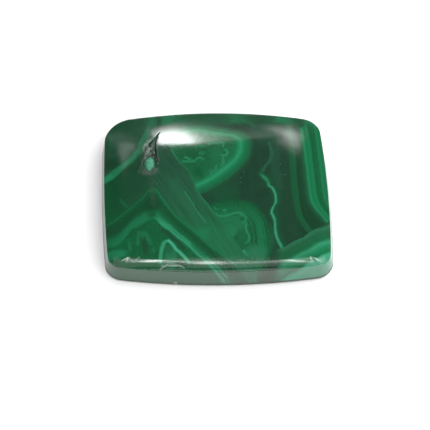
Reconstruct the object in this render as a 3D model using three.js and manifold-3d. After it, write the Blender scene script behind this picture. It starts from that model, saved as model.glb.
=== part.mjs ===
// A malachite cabochon: a cushion-shaped stone with a flat underside, a drafted wall, a crisp
// edge and a low polished dome, with one small natural pit that holds a plug of pale malachite.
// Millimetres, +Z up. The origin is at the middle of the flat underside. +X is along the long
// sides and -Y is the front.

import * as THREE from 'three';
import { mergeVertices } from 'three/addons/utils/BufferGeometryUtils.js';
import Module from 'manifold-3d';

// Driving dimensions of the outline, before its four sides are bowed.
const LENGTH = 25;
const WIDTH = 20.2;
const CORNER_RADIUS = { backRight: 2.1, backLeft: 3.1, frontLeft: 1.6, frontRight: 1.7 };

// How far each side's ends fall back from a straight side, and how far the cut is out of square.
const SIDE_BOW = { left: 0.33, right: 0.42, front: 0.91, back: 1.3 };
const OUT_OF_SQUARE = -0.018;

// The stone's section. The wall leans in by its draft, and more at the back, up to the edge.
const BASE_BEVEL = 0.3;
const WALL_DRAFT = 0.45;
const BACK_WALL_LEAN = 0.24;
const EDGE_HEIGHT = 3.1;
const DOME_RISE = 1.8;
const DOME_POWER = 3;
const THICKNESS = EDGE_HEIGHT + DOME_RISE;

// Along the front the dome's last stretch, its shoulder, turns down to an edge that is lower by
// this drop. The drop fades out along the two ends, by a power of how far forward the edge is.
const SHOULDER_DROP = 0.5;
const SHOULDER_FADE = 3;
const SHOULDER_WIDTH = 0.9;
const SHOULDER_POWER = 2.2;

// The dome's level lines are ellipses in the middle, grow squarer outward, and take on the
// outline over the last stretch.
const SQUARER_OUTWARD = 3.5;
const OUTLINE_POWER = 8;

// The pit: a crack that widens into a small hollow, and the oval plug in it. The floor is flat
// and leans as the dome does there, in radians about X and Y, so the crack runs out at its tip.
const PIT_FLOOR = 4.17;
const PIT_LEAN = { aboutX: -0.055, aboutY: -0.13 };
const PIT_TIP = [-5.9, 6.7];
const PIT_SIDES = [
  [-6.35, 5.7], [-6.4, 4.6], [-6.28, 3.4], [-6.45, 2.3], [-7.05, 1.65],
  [-7.7, 2.2], [-7.85, 3.2], [-7.7, 4.4], [-7.1, 5.1], [-6.5, 5.9],
];
const PIT_SIDE_STEPS = 2;
const PLUG_CENTRE = [-7.08, 2.65];
const PLUG_LENGTH = 1.65;
const PLUG_WIDTH = 1.1;
const PLUG_HEIGHT = 0.3;

// The chip on the front shoulder, a shallow scallop cut by a ball of these half sizes.
const CHIP_CENTRE = [-4.88, -9.16, 3.41];
const CHIP_HALF_SIZES = [1.85, 0.45, 0.45];

// How finely the faceted solid is divided.
const CORNER_STEPS = 7;
const LONG_SIDE_STEPS = 20;
const SHORT_SIDE_STEPS = 16;
const DOME_RINGS = 20;
const DOME_RING_SPACING_POWER = 1.7;

const HALF_LENGTH = LENGTH / 2;
const HALF_WIDTH = WIDTH / 2;

const wasm = await Module();
wasm.setup();

// One corner's columns, counter-clockwise, each a point of the outline and its outward normal.
function cornerColumns(signX, signY, radius, startAngle) {
  const centre = new THREE.Vector2(signX * (HALF_LENGTH - radius), signY * (HALF_WIDTH - radius));
  const columns = [];
  for (let step = 0; step <= CORNER_STEPS; step += 1) {
    const angle = startAngle + (step / CORNER_STEPS) * (Math.PI / 2);
    const normal = new THREE.Vector2(Math.cos(angle), Math.sin(angle));
    columns.push({ point: centre.clone().addScaledVector(normal, radius), normal });
  }
  return columns;
}

// The columns along a straight side, between the last of one corner and the first of the next.
function sideColumns(from, to, steps) {
  const columns = [];
  for (let step = 1; step < steps; step += 1) {
    columns.push({ point: from.point.clone().lerp(to.point, step / steps), normal: from.normal.clone() });
  }
  return columns;
}

// The whole outline: a rectangle with four round corners.
function outlineColumns() {
  const corners = [
    cornerColumns(1, 1, CORNER_RADIUS.backRight, 0),
    cornerColumns(-1, 1, CORNER_RADIUS.backLeft, Math.PI / 2),
    cornerColumns(-1, -1, CORNER_RADIUS.frontLeft, Math.PI),
    cornerColumns(1, -1, CORNER_RADIUS.frontRight, 1.5 * Math.PI),
  ];
  return corners.flatMap((corner, index) => {
    const next = corners[(index + 1) % corners.length];
    const steps = index % 2 === 0 ? LONG_SIDE_STEPS : SHORT_SIDE_STEPS;
    return [...corner, ...sideColumns(corner.at(-1), next[0], steps)];
  });
}

// Bows the four sides outward and puts the outline slightly out of square.
function bowed(point) {
  const alongX = point.x / HALF_LENGTH;
  const alongY = point.y / HALF_WIDTH;
  const endBow = point.x < 0 ? SIDE_BOW.left : SIDE_BOW.right;
  const sideBow = point.y < 0 ? SIDE_BOW.front : SIDE_BOW.back;
  const x = point.x - alongX * endBow * alongY ** 2 + OUT_OF_SQUARE * point.y;
  const y = point.y - alongY * sideBow * alongX ** 2 + OUT_OF_SQUARE * point.x;
  return new THREE.Vector2(x, y);
}

// How far the edge lies inside the outline at a column.
function wallDraft(column) {
  return WALL_DRAFT + BACK_WALL_LEAN * Math.max(0, column.normal.y);
}

// How far the shoulder turns down at a column.
function shoulderDrop(column) {
  return SHOULDER_DROP * Math.max(0, -column.point.y / HALF_WIDTH) ** SHOULDER_FADE;
}

// A ring of the underside: the outline moved in by an inset.
function baseRing(inset, z) {
  return (column) => {
    const { x, y } = bowed(column.point.clone().addScaledVector(column.normal, -inset));
    return new THREE.Vector3(x, y, z);
  };
}

// The ring at the top of the wall.
function edgeRing(column) {
  return baseRing(wallDraft(column), EDGE_HEIGHT - shoulderDrop(column))(column);
}

// A ring of the dome, at a share of the way from the middle to the edge.
function domeRing(share) {
  const rimX = HALF_LENGTH - WALL_DRAFT;
  const squareness = 2 + SQUARER_OUTWARD * share ** 2;
  const followsOutline = share ** OUTLINE_POWER;
  return (column) => {
    const rim = column.point.clone().addScaledVector(column.normal, -wallDraft(column));
    const rimY = HALF_WIDTH - WALL_DRAFT - (rim.y > 0 ? BACK_WALL_LEAN : 0);
    const powers = Math.abs(rim.x / rimX) ** squareness + Math.abs(rim.y / rimY) ** squareness;
    const reach = powers ** (1 / squareness);
    const scale = share * (followsOutline + (1 - followsOutline) / reach);
    const { x, y } = bowed(rim.clone().multiplyScalar(scale));
    const fromEdge = (1 - share) * rim.dot(column.normal);
    const shoulder = Math.max(0, 1 - fromEdge / SHOULDER_WIDTH) ** SHOULDER_POWER;
    const z = THICKNESS - DOME_RISE * share ** DOME_POWER - shoulderDrop(column) * shoulder;
    return new THREE.Vector3(x, y, z);
  };
}

// All rings of the stone, from the middle of the underside to the top of the dome.
function stoneRings() {
  const rings = [() => new THREE.Vector3(0, 0, 0)];
  rings.push(baseRing(BASE_BEVEL, 0), baseRing(0, BASE_BEVEL), edgeRing);
  for (let ring = 1; ring <= DOME_RINGS; ring += 1) {
    rings.push(domeRing(1 - (ring / DOME_RINGS) ** DOME_RING_SPACING_POWER));
  }
  return rings;
}

// The stone before it is pitted: a turned blank whose rings are moved out to the outline.
function stoneBlank() {
  const columns = outlineColumns();
  const rings = stoneRings();
  const lastRing = rings.length - 1;
  const profile = rings.map((ring, index) => {
    const onAxis = index === 0 || index === lastRing;
    return new THREE.Vector2(onAxis ? 0 : HALF_WIDTH, THICKNESS * (index / lastRing));
  });
  const geometry = new THREE.LatheGeometry(profile, columns.length);
  const position = geometry.attributes.position;
  for (let index = 0; index < position.count; index += 1) {
    const column = columns[Math.floor(index / rings.length) % columns.length];
    const { x, y, z } = rings[index % rings.length](column);
    position.setXYZ(index, x, y, z);
  }
  return geometry;
}

// The cutter for the pit: its outline, carried from its floor to above the dome.
function pitCutter() {
  const shape = new THREE.Shape();
  shape.moveTo(...PIT_TIP);
  shape.splineThru([...PIT_SIDES, PIT_TIP].map(([x, y]) => new THREE.Vector2(x, y)));
  const geometry = new THREE.ExtrudeGeometry(shape, {
    depth: THICKNESS - PIT_FLOOR,
    bevelEnabled: false,
    curveSegments: PIT_SIDE_STEPS,
  });
  geometry.translate(-PLUG_CENTRE[0], -PLUG_CENTRE[1], 0);
  geometry.rotateX(PIT_LEAN.aboutX).rotateY(PIT_LEAN.aboutY);
  return geometry.translate(...PLUG_CENTRE, PIT_FLOOR);
}

// The plug that stands in the pit: half of it is below the floor.
function plug() {
  const geometry = new THREE.SphereGeometry(1, 20, 10).rotateX(Math.PI / 2);
  geometry.scale(PLUG_WIDTH / 2, PLUG_LENGTH / 2, PLUG_HEIGHT);
  geometry.rotateX(PIT_LEAN.aboutX).rotateY(PIT_LEAN.aboutY);
  return geometry.translate(...PLUG_CENTRE, PIT_FLOOR);
}

// The ball that cuts the chip.
function chipCutter() {
  const geometry = new THREE.SphereGeometry(1, 16, 10);
  return geometry.scale(...CHIP_HALF_SIZES).translate(...CHIP_CENTRE);
}

// A closed geometry as a solid that can be joined and cut.
function solid(geometry) {
  geometry.deleteAttribute('normal');
  geometry.deleteAttribute('uv');
  const merged = mergeVertices(geometry);
  return new wasm.Manifold(new wasm.Mesh({
    numProp: 3,
    vertProperties: merged.attributes.position.array,
    triVerts: new Uint32Array(merged.index.array),
  }));
}

// A solid back as a geometry.
function geometryOf(manifold) {
  const mesh = manifold.getMesh();
  const geometry = new THREE.BufferGeometry();
  geometry.setAttribute('position', new THREE.BufferAttribute(mesh.vertProperties, 3));
  geometry.setIndex(new THREE.BufferAttribute(mesh.triVerts, 1));
  geometry.computeVertexNormals();
  return geometry;
}

// The stone, with its middle put exactly over the origin.
function cabochonGeometry() {
  const pitted = solid(stoneBlank()).subtract(solid(pitCutter())).add(solid(plug()));
  const geometry = geometryOf(pitted.subtract(solid(chipCutter())));
  geometry.computeBoundingBox();
  const middle = geometry.boundingBox.getCenter(new THREE.Vector3());
  return geometry.translate(-middle.x, -middle.y, 0);
}

const malachite = new THREE.MeshStandardMaterial({ color: 0x1e5a3c, roughness: 0.14, metalness: 0 });

const cabochon = new THREE.Mesh(cabochonGeometry(), malachite);
cabochon.name = 'malachite_cabochon';

const group = new THREE.Group();
group.add(cabochon);

export default group;
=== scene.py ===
import math

import bmesh
import bpy
from bpy.props import FloatProperty, FloatVectorProperty, PointerProperty
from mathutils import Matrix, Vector, noise


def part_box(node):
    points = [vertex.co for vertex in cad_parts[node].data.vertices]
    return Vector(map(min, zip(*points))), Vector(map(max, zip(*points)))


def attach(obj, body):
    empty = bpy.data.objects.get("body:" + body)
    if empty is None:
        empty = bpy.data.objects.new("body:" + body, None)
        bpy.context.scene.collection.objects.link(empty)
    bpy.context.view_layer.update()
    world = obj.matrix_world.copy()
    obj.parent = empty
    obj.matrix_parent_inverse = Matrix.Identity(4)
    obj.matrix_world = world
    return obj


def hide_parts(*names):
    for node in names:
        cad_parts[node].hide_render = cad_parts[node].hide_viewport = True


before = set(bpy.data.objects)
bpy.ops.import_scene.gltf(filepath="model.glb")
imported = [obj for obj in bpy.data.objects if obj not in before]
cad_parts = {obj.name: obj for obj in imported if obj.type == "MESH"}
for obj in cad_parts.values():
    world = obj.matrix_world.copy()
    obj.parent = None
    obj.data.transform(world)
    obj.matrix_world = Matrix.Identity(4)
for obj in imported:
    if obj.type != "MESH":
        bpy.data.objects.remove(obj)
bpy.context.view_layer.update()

bl_info = {
    "name": "Malachite cabochon",
    "version": (1, 0, 0),
    "blender": (4, 5, 0),
    "location": "3D View > Sidebar > Gemstone",
    "description": "Builds a polished malachite cabochon and the stage it lies on",
    "category": "Add Mesh",
}

STONE = "malachite_cabochon"
LOW_CORNER, HIGH_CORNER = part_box(STONE)
MM = 0.001
MICRON = 0.000001
TINY = 1e-8

# The outline in millimetres: a rectangle with four round corners, whose sides are then bowed.
OUTLINE_LENGTH = 25
OUTLINE_WIDTH = 20.2
HALF_LENGTH = OUTLINE_LENGTH / 2
HALF_WIDTH = OUTLINE_WIDTH / 2
# The corners' sides of the stone and radii, counter-clockwise from the back right one.
CORNERS = ((1, 1, 2.1), (-1, 1, 3.1), (-1, -1, 1.6), (1, -1, 1.7))
SIDE_BOW = {"left": 0.33, "right": 0.42, "front": 0.91, "back": 1.3}
OUT_OF_SQUARE = -0.018

# The section in millimetres. The thickness is the frame's. Along the front the dome ends in a
# shoulder, where the edge is lower.
THICKNESS = (HIGH_CORNER[2] - LOW_CORNER[2]) / MM
BASE_BEVEL = 0.3
WALL_DRAFT = 0.45
BACK_WALL_LEAN = 0.24
EDGE_HEIGHT = 3.1
DOME_RISE = THICKNESS - EDGE_HEIGHT
DOME_POWER = 3
SHOULDER_DROP = 0.5
SHOULDER_FADE = 3
SHOULDER_WIDTH = 0.9
SHOULDER_POWER = 2.2
FRONT_EDGE_HEIGHT = EDGE_HEIGHT - SHOULDER_DROP
SQUARER_OUTWARD = 3.5
OUTLINE_POWER = 8
EDGE_ROUNDING = 0.05

# The pit and the plug in it, and the chip on the front shoulder.
PIT_FLOOR = 4.17
PIT_SLOPE = (0.13, -0.055)
PIT_OUTLINE = (
    (-5.9, 6.7), (-6.35, 5.7), (-6.4, 4.6), (-6.28, 3.4), (-6.45, 2.3), (-7.05, 1.65),
    (-7.7, 2.2), (-7.85, 3.2), (-7.7, 4.4), (-7.1, 5.1), (-6.5, 5.9),
)
PIT_WALL = 0.12
PIT_GRAIN = 0.05
PIT_LEAST_DEPTH = 0.03
PLUG_CENTRE = (-7.08, 2.65)
PLUG_HALF_SIZES = (0.55, 0.82)
PLUG_HEIGHT = 0.3
CHIP_CENTRE = Vector((-4.88, -9.16, 3.41))
CHIP_HALF_SIZES = Vector((1.85, 0.45, 0.45))

# How finely the mesh is divided: columns round the stone, and rings of each stretch of it.
COLUMNS = 368
CORNER_SHARE = 0.3
UNDERSIDE_RINGS = (0, 0.5, 0.97)
BEVEL_RINGS = (1, 1.5)
WALL_RINGS = (2, 2.05, 2.2, 2.4, 2.6, 2.8, 2.95)
DOME_RINGS = 116
DOME_RING_SPACING_POWER = 1.3
REFINED_REACH = 0.3
REFINED_CUTS = 3


# Settings that a user would change

def seen_as(red, green, blue):
    """The base colour that shows as an 8-bit colour on the dome in the stage's light."""
    top_light = 1.8
    veil = 0.006
    linear = [((part / 255 + 0.055) / 1.055) ** 2.4 for part in (red, green, blue)]
    return [max(0.0012, (part - veil) / top_light) for part in linear]


def colour_setting(name, description, colour):
    """A colour that shows in the sidebar."""
    return FloatVectorProperty(
        name=name, description=description, default=seen_as(*colour), min=0.0, max=1.0, subtype="COLOR",
    )


class CabochonSettings(bpy.types.PropertyGroup):
    """The finish and the colours of the stone."""

    polish: FloatProperty(
        name="Polish", description="Roughness of the polished dome and wall",
        default=0.1, min=0.0, max=1.0, subtype="FACTOR",
    )
    grinding: FloatProperty(
        name="Ground base", description="Roughness of the ground underside",
        default=0.55, min=0.0, max=1.0, subtype="FACTOR",
    )
    matt: FloatProperty(
        name="Matt", description="Roughness of the crust, the plug and the worn marks",
        default=0.6, min=0.0, max=1.0, subtype="FACTOR",
    )
    refraction: FloatProperty(
        name="Refractive index", description="Refractive index of malachite, which sets its gloss",
        default=1.75, min=1.0, max=2.5,
    )
    deep: colour_setting("Deep green", "The darkest clear green", (17, 60, 36))
    leaf: colour_setting("Leaf green", "The middle clear green", (20, 96, 57))
    bright: colour_setting("Bright green", "The bright clear green", (32, 133, 88))
    mint: colour_setting("Mint", "The palest clear green", (62, 172, 130))
    slate: colour_setting("Slate green", "The darkest grey green", (36, 62, 48))
    moss: colour_setting("Moss green", "The middle grey green", (43, 96, 69))
    silk: colour_setting("Silk green", "The light grey green", (50, 131, 95))
    foam: colour_setting("Foam green", "The palest grey green", (74, 168, 134))
    plug: colour_setting("Plug", "The pale malachite of the plug", (66, 160, 122))
    crust: colour_setting("Crust", "The grey crust around the pit", (76, 88, 80))
    # Bloom also paints the sheen on the front shoulder's highlight.
    bloom: colour_setting("Bloom", "The whitish specks by the pit and on worn edges", (140, 156, 147))
    crack: colour_setting("Crack", "The dark of the crack and of the gap round the plug", (22, 50, 38))


class StageSettings(bpy.types.PropertyGroup):
    """The camera and the floor."""

    azimuth: FloatProperty(
        name="View azimuth", description="Direction of the camera round the stone",
        default=math.radians(-1.68), subtype="ANGLE",
    )
    elevation: FloatProperty(
        name="View elevation", description="Height of the camera above the floor, as an angle",
        default=math.radians(64), subtype="ANGLE",
    )
    distance: FloatProperty(
        name="View distance", description="Distance from the camera to the point it looks at",
        default=0.150, unit="LENGTH",
    )
    lens: FloatProperty(
        name="Focal length", description="Focal length of the camera in millimetres, on a 36 mm sensor",
        default=114.75, min=1.0,
    )
    floor_size: FloatProperty(
        name="Floor size", description="Length of the floor's sides", default=3.0, unit="LENGTH",
    )


# The stone's shape

def outline(turn):
    """A point of the outline, before the bow, and its outward normal. A full round is 4 turns."""
    quarter = int(turn) % 4
    share = turn - int(turn)
    sign_x, sign_y, radius = CORNERS[quarter]
    centre = Vector((sign_x * (HALF_LENGTH - radius), sign_y * (HALF_WIDTH - radius)))
    angle = (quarter + min(share / CORNER_SHARE, 1)) * math.pi / 2
    normal = Vector((math.cos(angle), math.sin(angle)))
    point = centre + radius * normal
    if share > CORNER_SHARE:
        next_x, next_y, next_radius = CORNERS[(quarter + 1) % 4]
        next_centre = Vector((next_x * (HALF_LENGTH - next_radius), next_y * (HALF_WIDTH - next_radius)))
        along = (share - CORNER_SHARE) / (1 - CORNER_SHARE)
        point = point.lerp(next_centre + next_radius * normal, along)
    return point, normal


def bowed(point):
    """Bows the four sides and puts the outline slightly out of square."""
    along_x = point.x / HALF_LENGTH
    along_y = point.y / HALF_WIDTH
    end_bow = SIDE_BOW["left"] if point.x < 0 else SIDE_BOW["right"]
    side_bow = SIDE_BOW["front"] if point.y < 0 else SIDE_BOW["back"]
    x = point.x - along_x * end_bow * along_y ** 2 + OUT_OF_SQUARE * point.y
    y = point.y - along_y * side_bow * along_x ** 2 + OUT_OF_SQUARE * point.x
    return x, y


def wall_draft(normal):
    """How far the edge lies inside the outline."""
    return WALL_DRAFT + BACK_WALL_LEAN * max(0, normal.y)


def shoulder_drop(point):
    """How far the shoulder turns down at a point of the outline."""
    return SHOULDER_DROP * max(0, -point.y / HALF_WIDTH) ** SHOULDER_FADE


def dome_point(point, normal, share):
    """A point of the dome, at a share of the way from its middle to its edge."""
    rim = point - wall_draft(normal) * normal
    rim_y = HALF_WIDTH - WALL_DRAFT - (BACK_WALL_LEAN if rim.y > 0 else 0)
    squareness = 2 + SQUARER_OUTWARD * share ** 2
    follows_outline = share ** OUTLINE_POWER
    across = abs(rim.x / (HALF_LENGTH - WALL_DRAFT)) ** squareness
    across += abs(rim.y / rim_y) ** squareness
    reach = across ** (1 / squareness)
    x, y = bowed(rim * share * (follows_outline + (1 - follows_outline) / reach))
    from_edge = (1 - share) * rim.dot(normal)
    shoulder = max(0, 1 - from_edge / SHOULDER_WIDTH) ** SHOULDER_POWER
    return Vector((x, y, THICKNESS - DOME_RISE * share ** DOME_POWER - shoulder_drop(point) * shoulder))


def stone_point(turn, level):
    """A point of the surface. Levels 0 to 1 are the underside, 1 to 2 the bevel, 2 to 3 the wall
    and 3 to 4 the dome."""
    point, normal = outline(turn)
    if level > 3:
        return dome_point(point, normal, 4 - level)
    if level > 2:
        inset = wall_draft(normal) * (level - 2)
        height = BASE_BEVEL + (EDGE_HEIGHT - shoulder_drop(point) - BASE_BEVEL) * (level - 2)
    else:
        inset = BASE_BEVEL * min(1, 2 - level)
        height = BASE_BEVEL * max(0, level - 1)
    x, y = bowed((point - inset * normal) * min(1, level))
    return Vector((x, y, height))


def seated(blank_place):
    """Where a place on the turned blank lies on the stone."""
    turn = math.atan2(blank_place.y, blank_place.x) / (math.pi / 2)
    return stone_point(turn % 4, blank_place.z)


def smooth_share(value, low, high):
    """0 below low, 1 above high and a smooth step between them."""
    share = min(1, max(0, (value - low) / (high - low)))
    return share * share * (3 - 2 * share)


def inside_pit(x, y):
    """How far a point of the plan is inside the pit's outline, or outside it if negative."""
    place = Vector((x, y))
    inside = False
    nearest = math.inf
    for first, last in zip(PIT_OUTLINE, PIT_OUTLINE[1:] + PIT_OUTLINE[:1]):
        start = Vector(first)
        along = Vector(last) - start
        share = min(1, max(0, (place - start).dot(along) / along.length_squared))
        nearest = min(nearest, (place - start - share * along).length)
        if (first[1] > y) != (last[1] > y):
            inside ^= x < start.x + along.x * (y - start.y) / along.y
    return nearest if inside else -nearest


def chip_reach(place):
    """1 on the ball that cuts the chip, and less inside it."""
    offset = place - CHIP_CENTRE
    return math.sqrt(sum((offset[axis] / CHIP_HALF_SIZES[axis]) ** 2 for axis in range(3)))


def turned_blank():
    """A closed cylinder of unit radius, turned from a profile, whose heights are the levels."""
    bm = bmesh.new()
    dome = [3 + (ring / DOME_RINGS) ** DOME_RING_SPACING_POWER for ring in range(DOME_RINGS + 1)]
    levels = [*UNDERSIDE_RINGS, *BEVEL_RINGS, *WALL_RINGS, *dome]
    profile = [bm.verts.new((0 if level in (0, 4) else 1, 0, level)) for level in levels]
    edges = [bm.edges.new(pair) for pair in zip(profile, profile[1:])]
    bmesh.ops.spin(
        bm, geom=profile + edges, cent=(0, 0, 0), axis=(0, 0, 1), dvec=(0, 0, 0),
        angle=2 * math.pi, steps=COLUMNS, use_merge=True,
    )
    bmesh.ops.remove_doubles(bm, verts=bm.verts, dist=1e-5)
    bmesh.ops.recalc_face_normals(bm, faces=bm.faces)
    return bm


def refine_damage(bm):
    """Divides the faces at the pit and the chip more finely, while they are still on the blank."""
    chosen = set()
    for face in bm.faces:
        middle = face.calc_center_median()
        if not 3 < middle.z < 3.99:
            continue
        place = seated(middle)
        near_pit = abs(place.x + 7) < 1.6 and abs(place.y - 4.2) < 3.2
        if near_pit and inside_pit(place.x, place.y) > -REFINED_REACH or chip_reach(place) < 1.3:
            chosen.update(face.edges)
    bmesh.ops.subdivide_edges(bm, edges=list(chosen), cuts=REFINED_CUTS, use_grid_fill=True)


def sink_pit(vert):
    """Sinks a vertex to the pit's rough floor, or to the plug that stands on it."""
    place = vert.co
    share = smooth_share(inside_pit(place.x, place.y), -PIT_WALL / 3, PIT_WALL)
    if share <= 0:
        return
    from_plug = (place.x - PLUG_CENTRE[0], place.y - PLUG_CENTRE[1])
    floor = PIT_FLOOR + PIT_SLOPE[0] * from_plug[0] + PIT_SLOPE[1] * from_plug[1]
    roundness = 1 - (from_plug[0] / PLUG_HALF_SIZES[0]) ** 2 - (from_plug[1] / PLUG_HALF_SIZES[1]) ** 2
    plug = PLUG_HEIGHT * math.sqrt(max(0, roundness))
    grain = PIT_GRAIN * noise.fractal(place * 3.5, 0.7, 2.1, 4)
    bottom = min(place.z - PIT_LEAST_DEPTH, floor + max(grain, plug + grain / 4))
    place.z += share * (bottom - place.z)


def cut_chip(vert):
    """Moves a vertex that is inside the chip's ball out to the ball's surface."""
    reach = chip_reach(vert.co)
    if reach < 1:
        vert.co = CHIP_CENTRE + (vert.co - CHIP_CENTRE) / reach


def ring_edges(bm, *levels):
    """The edges that run round the blank at these levels."""
    chosen = []
    for edge in bm.edges:
        low, high = sorted(vert.co.z for vert in edge.verts)
        if low == high and low in levels:
            chosen.append(edge)
    return chosen


def stone_mesh():
    """The finished mesh of the stone, in metres."""
    bm = turned_blank()
    refine_damage(bm)
    for edge in ring_edges(bm, 1):
        edge.smooth = False
    rounded = ring_edges(bm, 2, 3)
    for vert in bm.verts:
        vert.co = seated(vert.co)
        if vert.co.z > FRONT_EDGE_HEIGHT:
            sink_pit(vert)
            cut_chip(vert)
    bmesh.ops.bevel(
        bm, geom=rounded, offset=EDGE_ROUNDING, offset_type="OFFSET", segments=3,
        profile=0.5, affect="EDGES", clamp_overlap=True, material=-1,
    )
    xs = [vert.co.x for vert in bm.verts]
    ys = [vert.co.y for vert in bm.verts]
    to_middle = Vector((-(min(xs) + max(xs)) / 2, -(min(ys) + max(ys)) / 2, 0))
    bmesh.ops.translate(bm, vec=to_middle, verts=bm.verts)
    bmesh.ops.scale(bm, vec=(MM, MM, MM), verts=bm.verts)
    for face in bm.faces:
        face.smooth = True
    mesh = bpy.data.meshes.new("polished_cabochon")
    bm.to_mesh(mesh)
    bm.free()
    return mesh


# Shader building

class Signal:
    """A socket of a material, with arithmetic that adds Math nodes."""

    def __init__(self, sheet, socket):
        self.sheet = sheet
        self.socket = socket

    def math(self, operation, *others):
        values = dict(enumerate((self, *others)))
        return self.sheet.add("ShaderNodeMath", {"operation": operation}, values)

    def __add__(self, other):
        return self.math("ADD", other)

    def __radd__(self, other):
        return self.math("ADD", other)

    def __mul__(self, other):
        return self.math("MULTIPLY", other)

    def __rmul__(self, other):
        return self.math("MULTIPLY", other)

    def __sub__(self, other):
        return self.math("SUBTRACT", other)

    def __rsub__(self, other):
        return self.sheet.add("ShaderNodeMath", {"operation": "SUBTRACT"}, {0: other, 1: self})

    def __truediv__(self, other):
        return self.math("DIVIDE", other)

    def __abs__(self):
        return self.math("ABSOLUTE")

    def root(self):
        return self.math("SQRT")

    def at_least(self, other):
        return self.math("MAXIMUM", other)

    def at_most(self, other):
        return self.math("MINIMUM", other)

    def step(self, low, high):
        """0 at low and 1 at high, with a smooth step between them."""
        values = {0: self, 1: low, 2: high}
        return self.sheet.add("ShaderNodeMapRange", {"interpolation_type": "SMOOTHSTEP"}, values)

    def curve(self, points):
        """The signal through a curve of given (from, to) points."""
        return self.sheet.add("ShaderNodeFloatCurve", {"points": points}, {"Value": self})

    def near(self, middle, half_width, soft):
        """1 within half_width of middle, falling to 0 over soft on either side."""
        return abs(self - middle).step(half_width + soft, half_width)


class Sheet:
    """Adds nodes to one material."""

    def __init__(self, material):
        self.tree = material.node_tree

    def add(self, kind, settings=None, values=None, output=0):
        """Adds a node: its type, its settings, and the values or links of its sockets."""
        node = self.tree.nodes.new(kind)
        for name, value in (settings or {}).items():
            if name == "points":
                self.draw_curve(node.mapping, value)
            elif name == "stops":
                self.set_stops(node.color_ramp, value)
            else:
                setattr(node, name, value)
        for name, value in (values or {}).items():
            if isinstance(value, Signal):
                self.tree.links.new(value.socket, node.inputs[name])
            else:
                node.inputs[name].default_value = value
        return Signal(self, node.outputs[output]) if node.outputs else None

    @staticmethod
    def draw_curve(mapping, points):
        mapping.use_clip = False
        curve = mapping.curves[0]
        curve.points[0].location = points[0]
        curve.points[1].location = points[-1]
        for point in points[1:-1]:
            curve.points.new(*point)
        for point in curve.points:
            point.handle_type = "AUTO_CLAMPED"
        mapping.update()

    @staticmethod
    def set_stops(ramp, stops):
        for index, (place, colour) in enumerate(stops):
            stop = ramp.elements[index] if index < 2 else ramp.elements.new(place)
            stop.position = place
            stop.color = (*colour, 1)

    def mix(self, first, second, share):
        """A value that goes from first to second as share goes from 0 to 1."""
        return self.add("ShaderNodeMix", {"data_type": "FLOAT"}, {0: share, 2: first, 3: second})

    def mix_colour(self, first, second, share):
        """The same for colours, each of them a signal or the red, green and blue of a setting."""
        first, second = (each if isinstance(each, Signal) else (*each, 1) for each in (first, second))
        return self.add("ShaderNodeMix", {"data_type": "RGBA"}, {0: share, 6: first, 7: second}, output=2)

    def split(self, vector):
        """The x, y and z of a vector."""
        parts = self.add("ShaderNodeSeparateXYZ", {}, {0: vector})
        return [Signal(self, output) for output in parts.socket.node.outputs]

    def join(self, x, y, z):
        """A vector of three values."""
        return self.add("ShaderNodeCombineXYZ", {}, {0: x, 1: y, 2: z})

    def cloud(self, place, scale, detail=2.0, rough=0.5):
        """Cloudy noise around 0, of so many features per millimetre."""
        values = {"Vector": place, "Scale": scale, "Detail": detail, "Roughness": rough}
        return self.add("ShaderNodeTexNoise", {}, values) - 0.5

    def layers(self, distance, scale, detail=2.0):
        """Noise around 0 that changes with one distance only, as thin layers do."""
        values = {"W": distance, "Scale": scale, "Detail": detail, "Roughness": 0.65}
        return self.add("ShaderNodeTexNoise", {"noise_dimensions": "1D"}, values) - 0.5

    def framed(self, place, origin, angle):
        """The plan position along and across a frame that starts at origin, turned by angle."""
        turned = self.add("ShaderNodeMapping", {"vector_type": "TEXTURE"}, {
            "Vector": place, "Location": (*origin, 0), "Rotation": (0, 0, angle),
        })
        return self.split(turned)[:2]

    def beside(self, place, points, angle=None):
        """How far a place is to the left of a line drawn through plan points, and how far
        along the line's chord it is. The distance is taken square to the chord, or to an angle."""
        start = Vector(points[0])
        chord = Vector(points[-1]) - start
        if angle is None:
            angle = math.atan2(chord.y, chord.x)
        unit = Vector((math.cos(angle), math.sin(angle)))
        drawn = []
        for point in points:
            offset = Vector(point) - start
            drawn.append((offset.dot(unit), unit.x * offset.y - unit.y * offset.x))
        along, across = self.framed(place, start, angle)
        return across - along.curve(drawn), along

    def drawn(self, place, points, half_width, soft):
        """1 on a line drawn through plan points, from its first point to its last."""
        across, along = self.beside(place, points)
        length = (Vector(points[-1]) - Vector(points[0])).length
        return across.near(0, half_width, soft) * along.near(length / 2, length / 2 - soft / 2, soft)

    def around(self, place, centre, radii):
        """How far a place is outside a round line drawn as (degrees, radius) points."""
        x, y = self.framed(place, centre, 0)
        radius = (x * x + y * y).root()
        angle = y.math("ARCTAN2", x)
        drawn = [(math.radians(degrees), reach) for degrees, reach in radii]
        return radius - angle.curve(drawn), angle

    def spot(self, place, centre, half_width, half_height, soft, angle=0.0):
        """1 inside an oval, falling to 0 over a share soft of its size."""
        turned = self.add("ShaderNodeMapping", {"vector_type": "TEXTURE"}, {
            "Vector": place, "Location": (*centre, 0), "Rotation": (0, 0, math.radians(angle)),
            "Scale": (half_width, half_height, 1),
        })
        reach = self.add("ShaderNodeVectorMath", {"operation": "LENGTH"}, {0: turned}, output=1)
        return reach.step(1 + soft, 1 - soft)

    def curl(self, place, centre, radius, half_width, soft, opening):
        """1 on a small ring that is open towards an angle in degrees."""
        x, y = self.framed(place, centre, math.radians(opening))
        ring = (x * x + y * y).root().near(radius, half_width, soft)
        return ring * x.step(0.7 * radius, 0.1 * radius)


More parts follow.
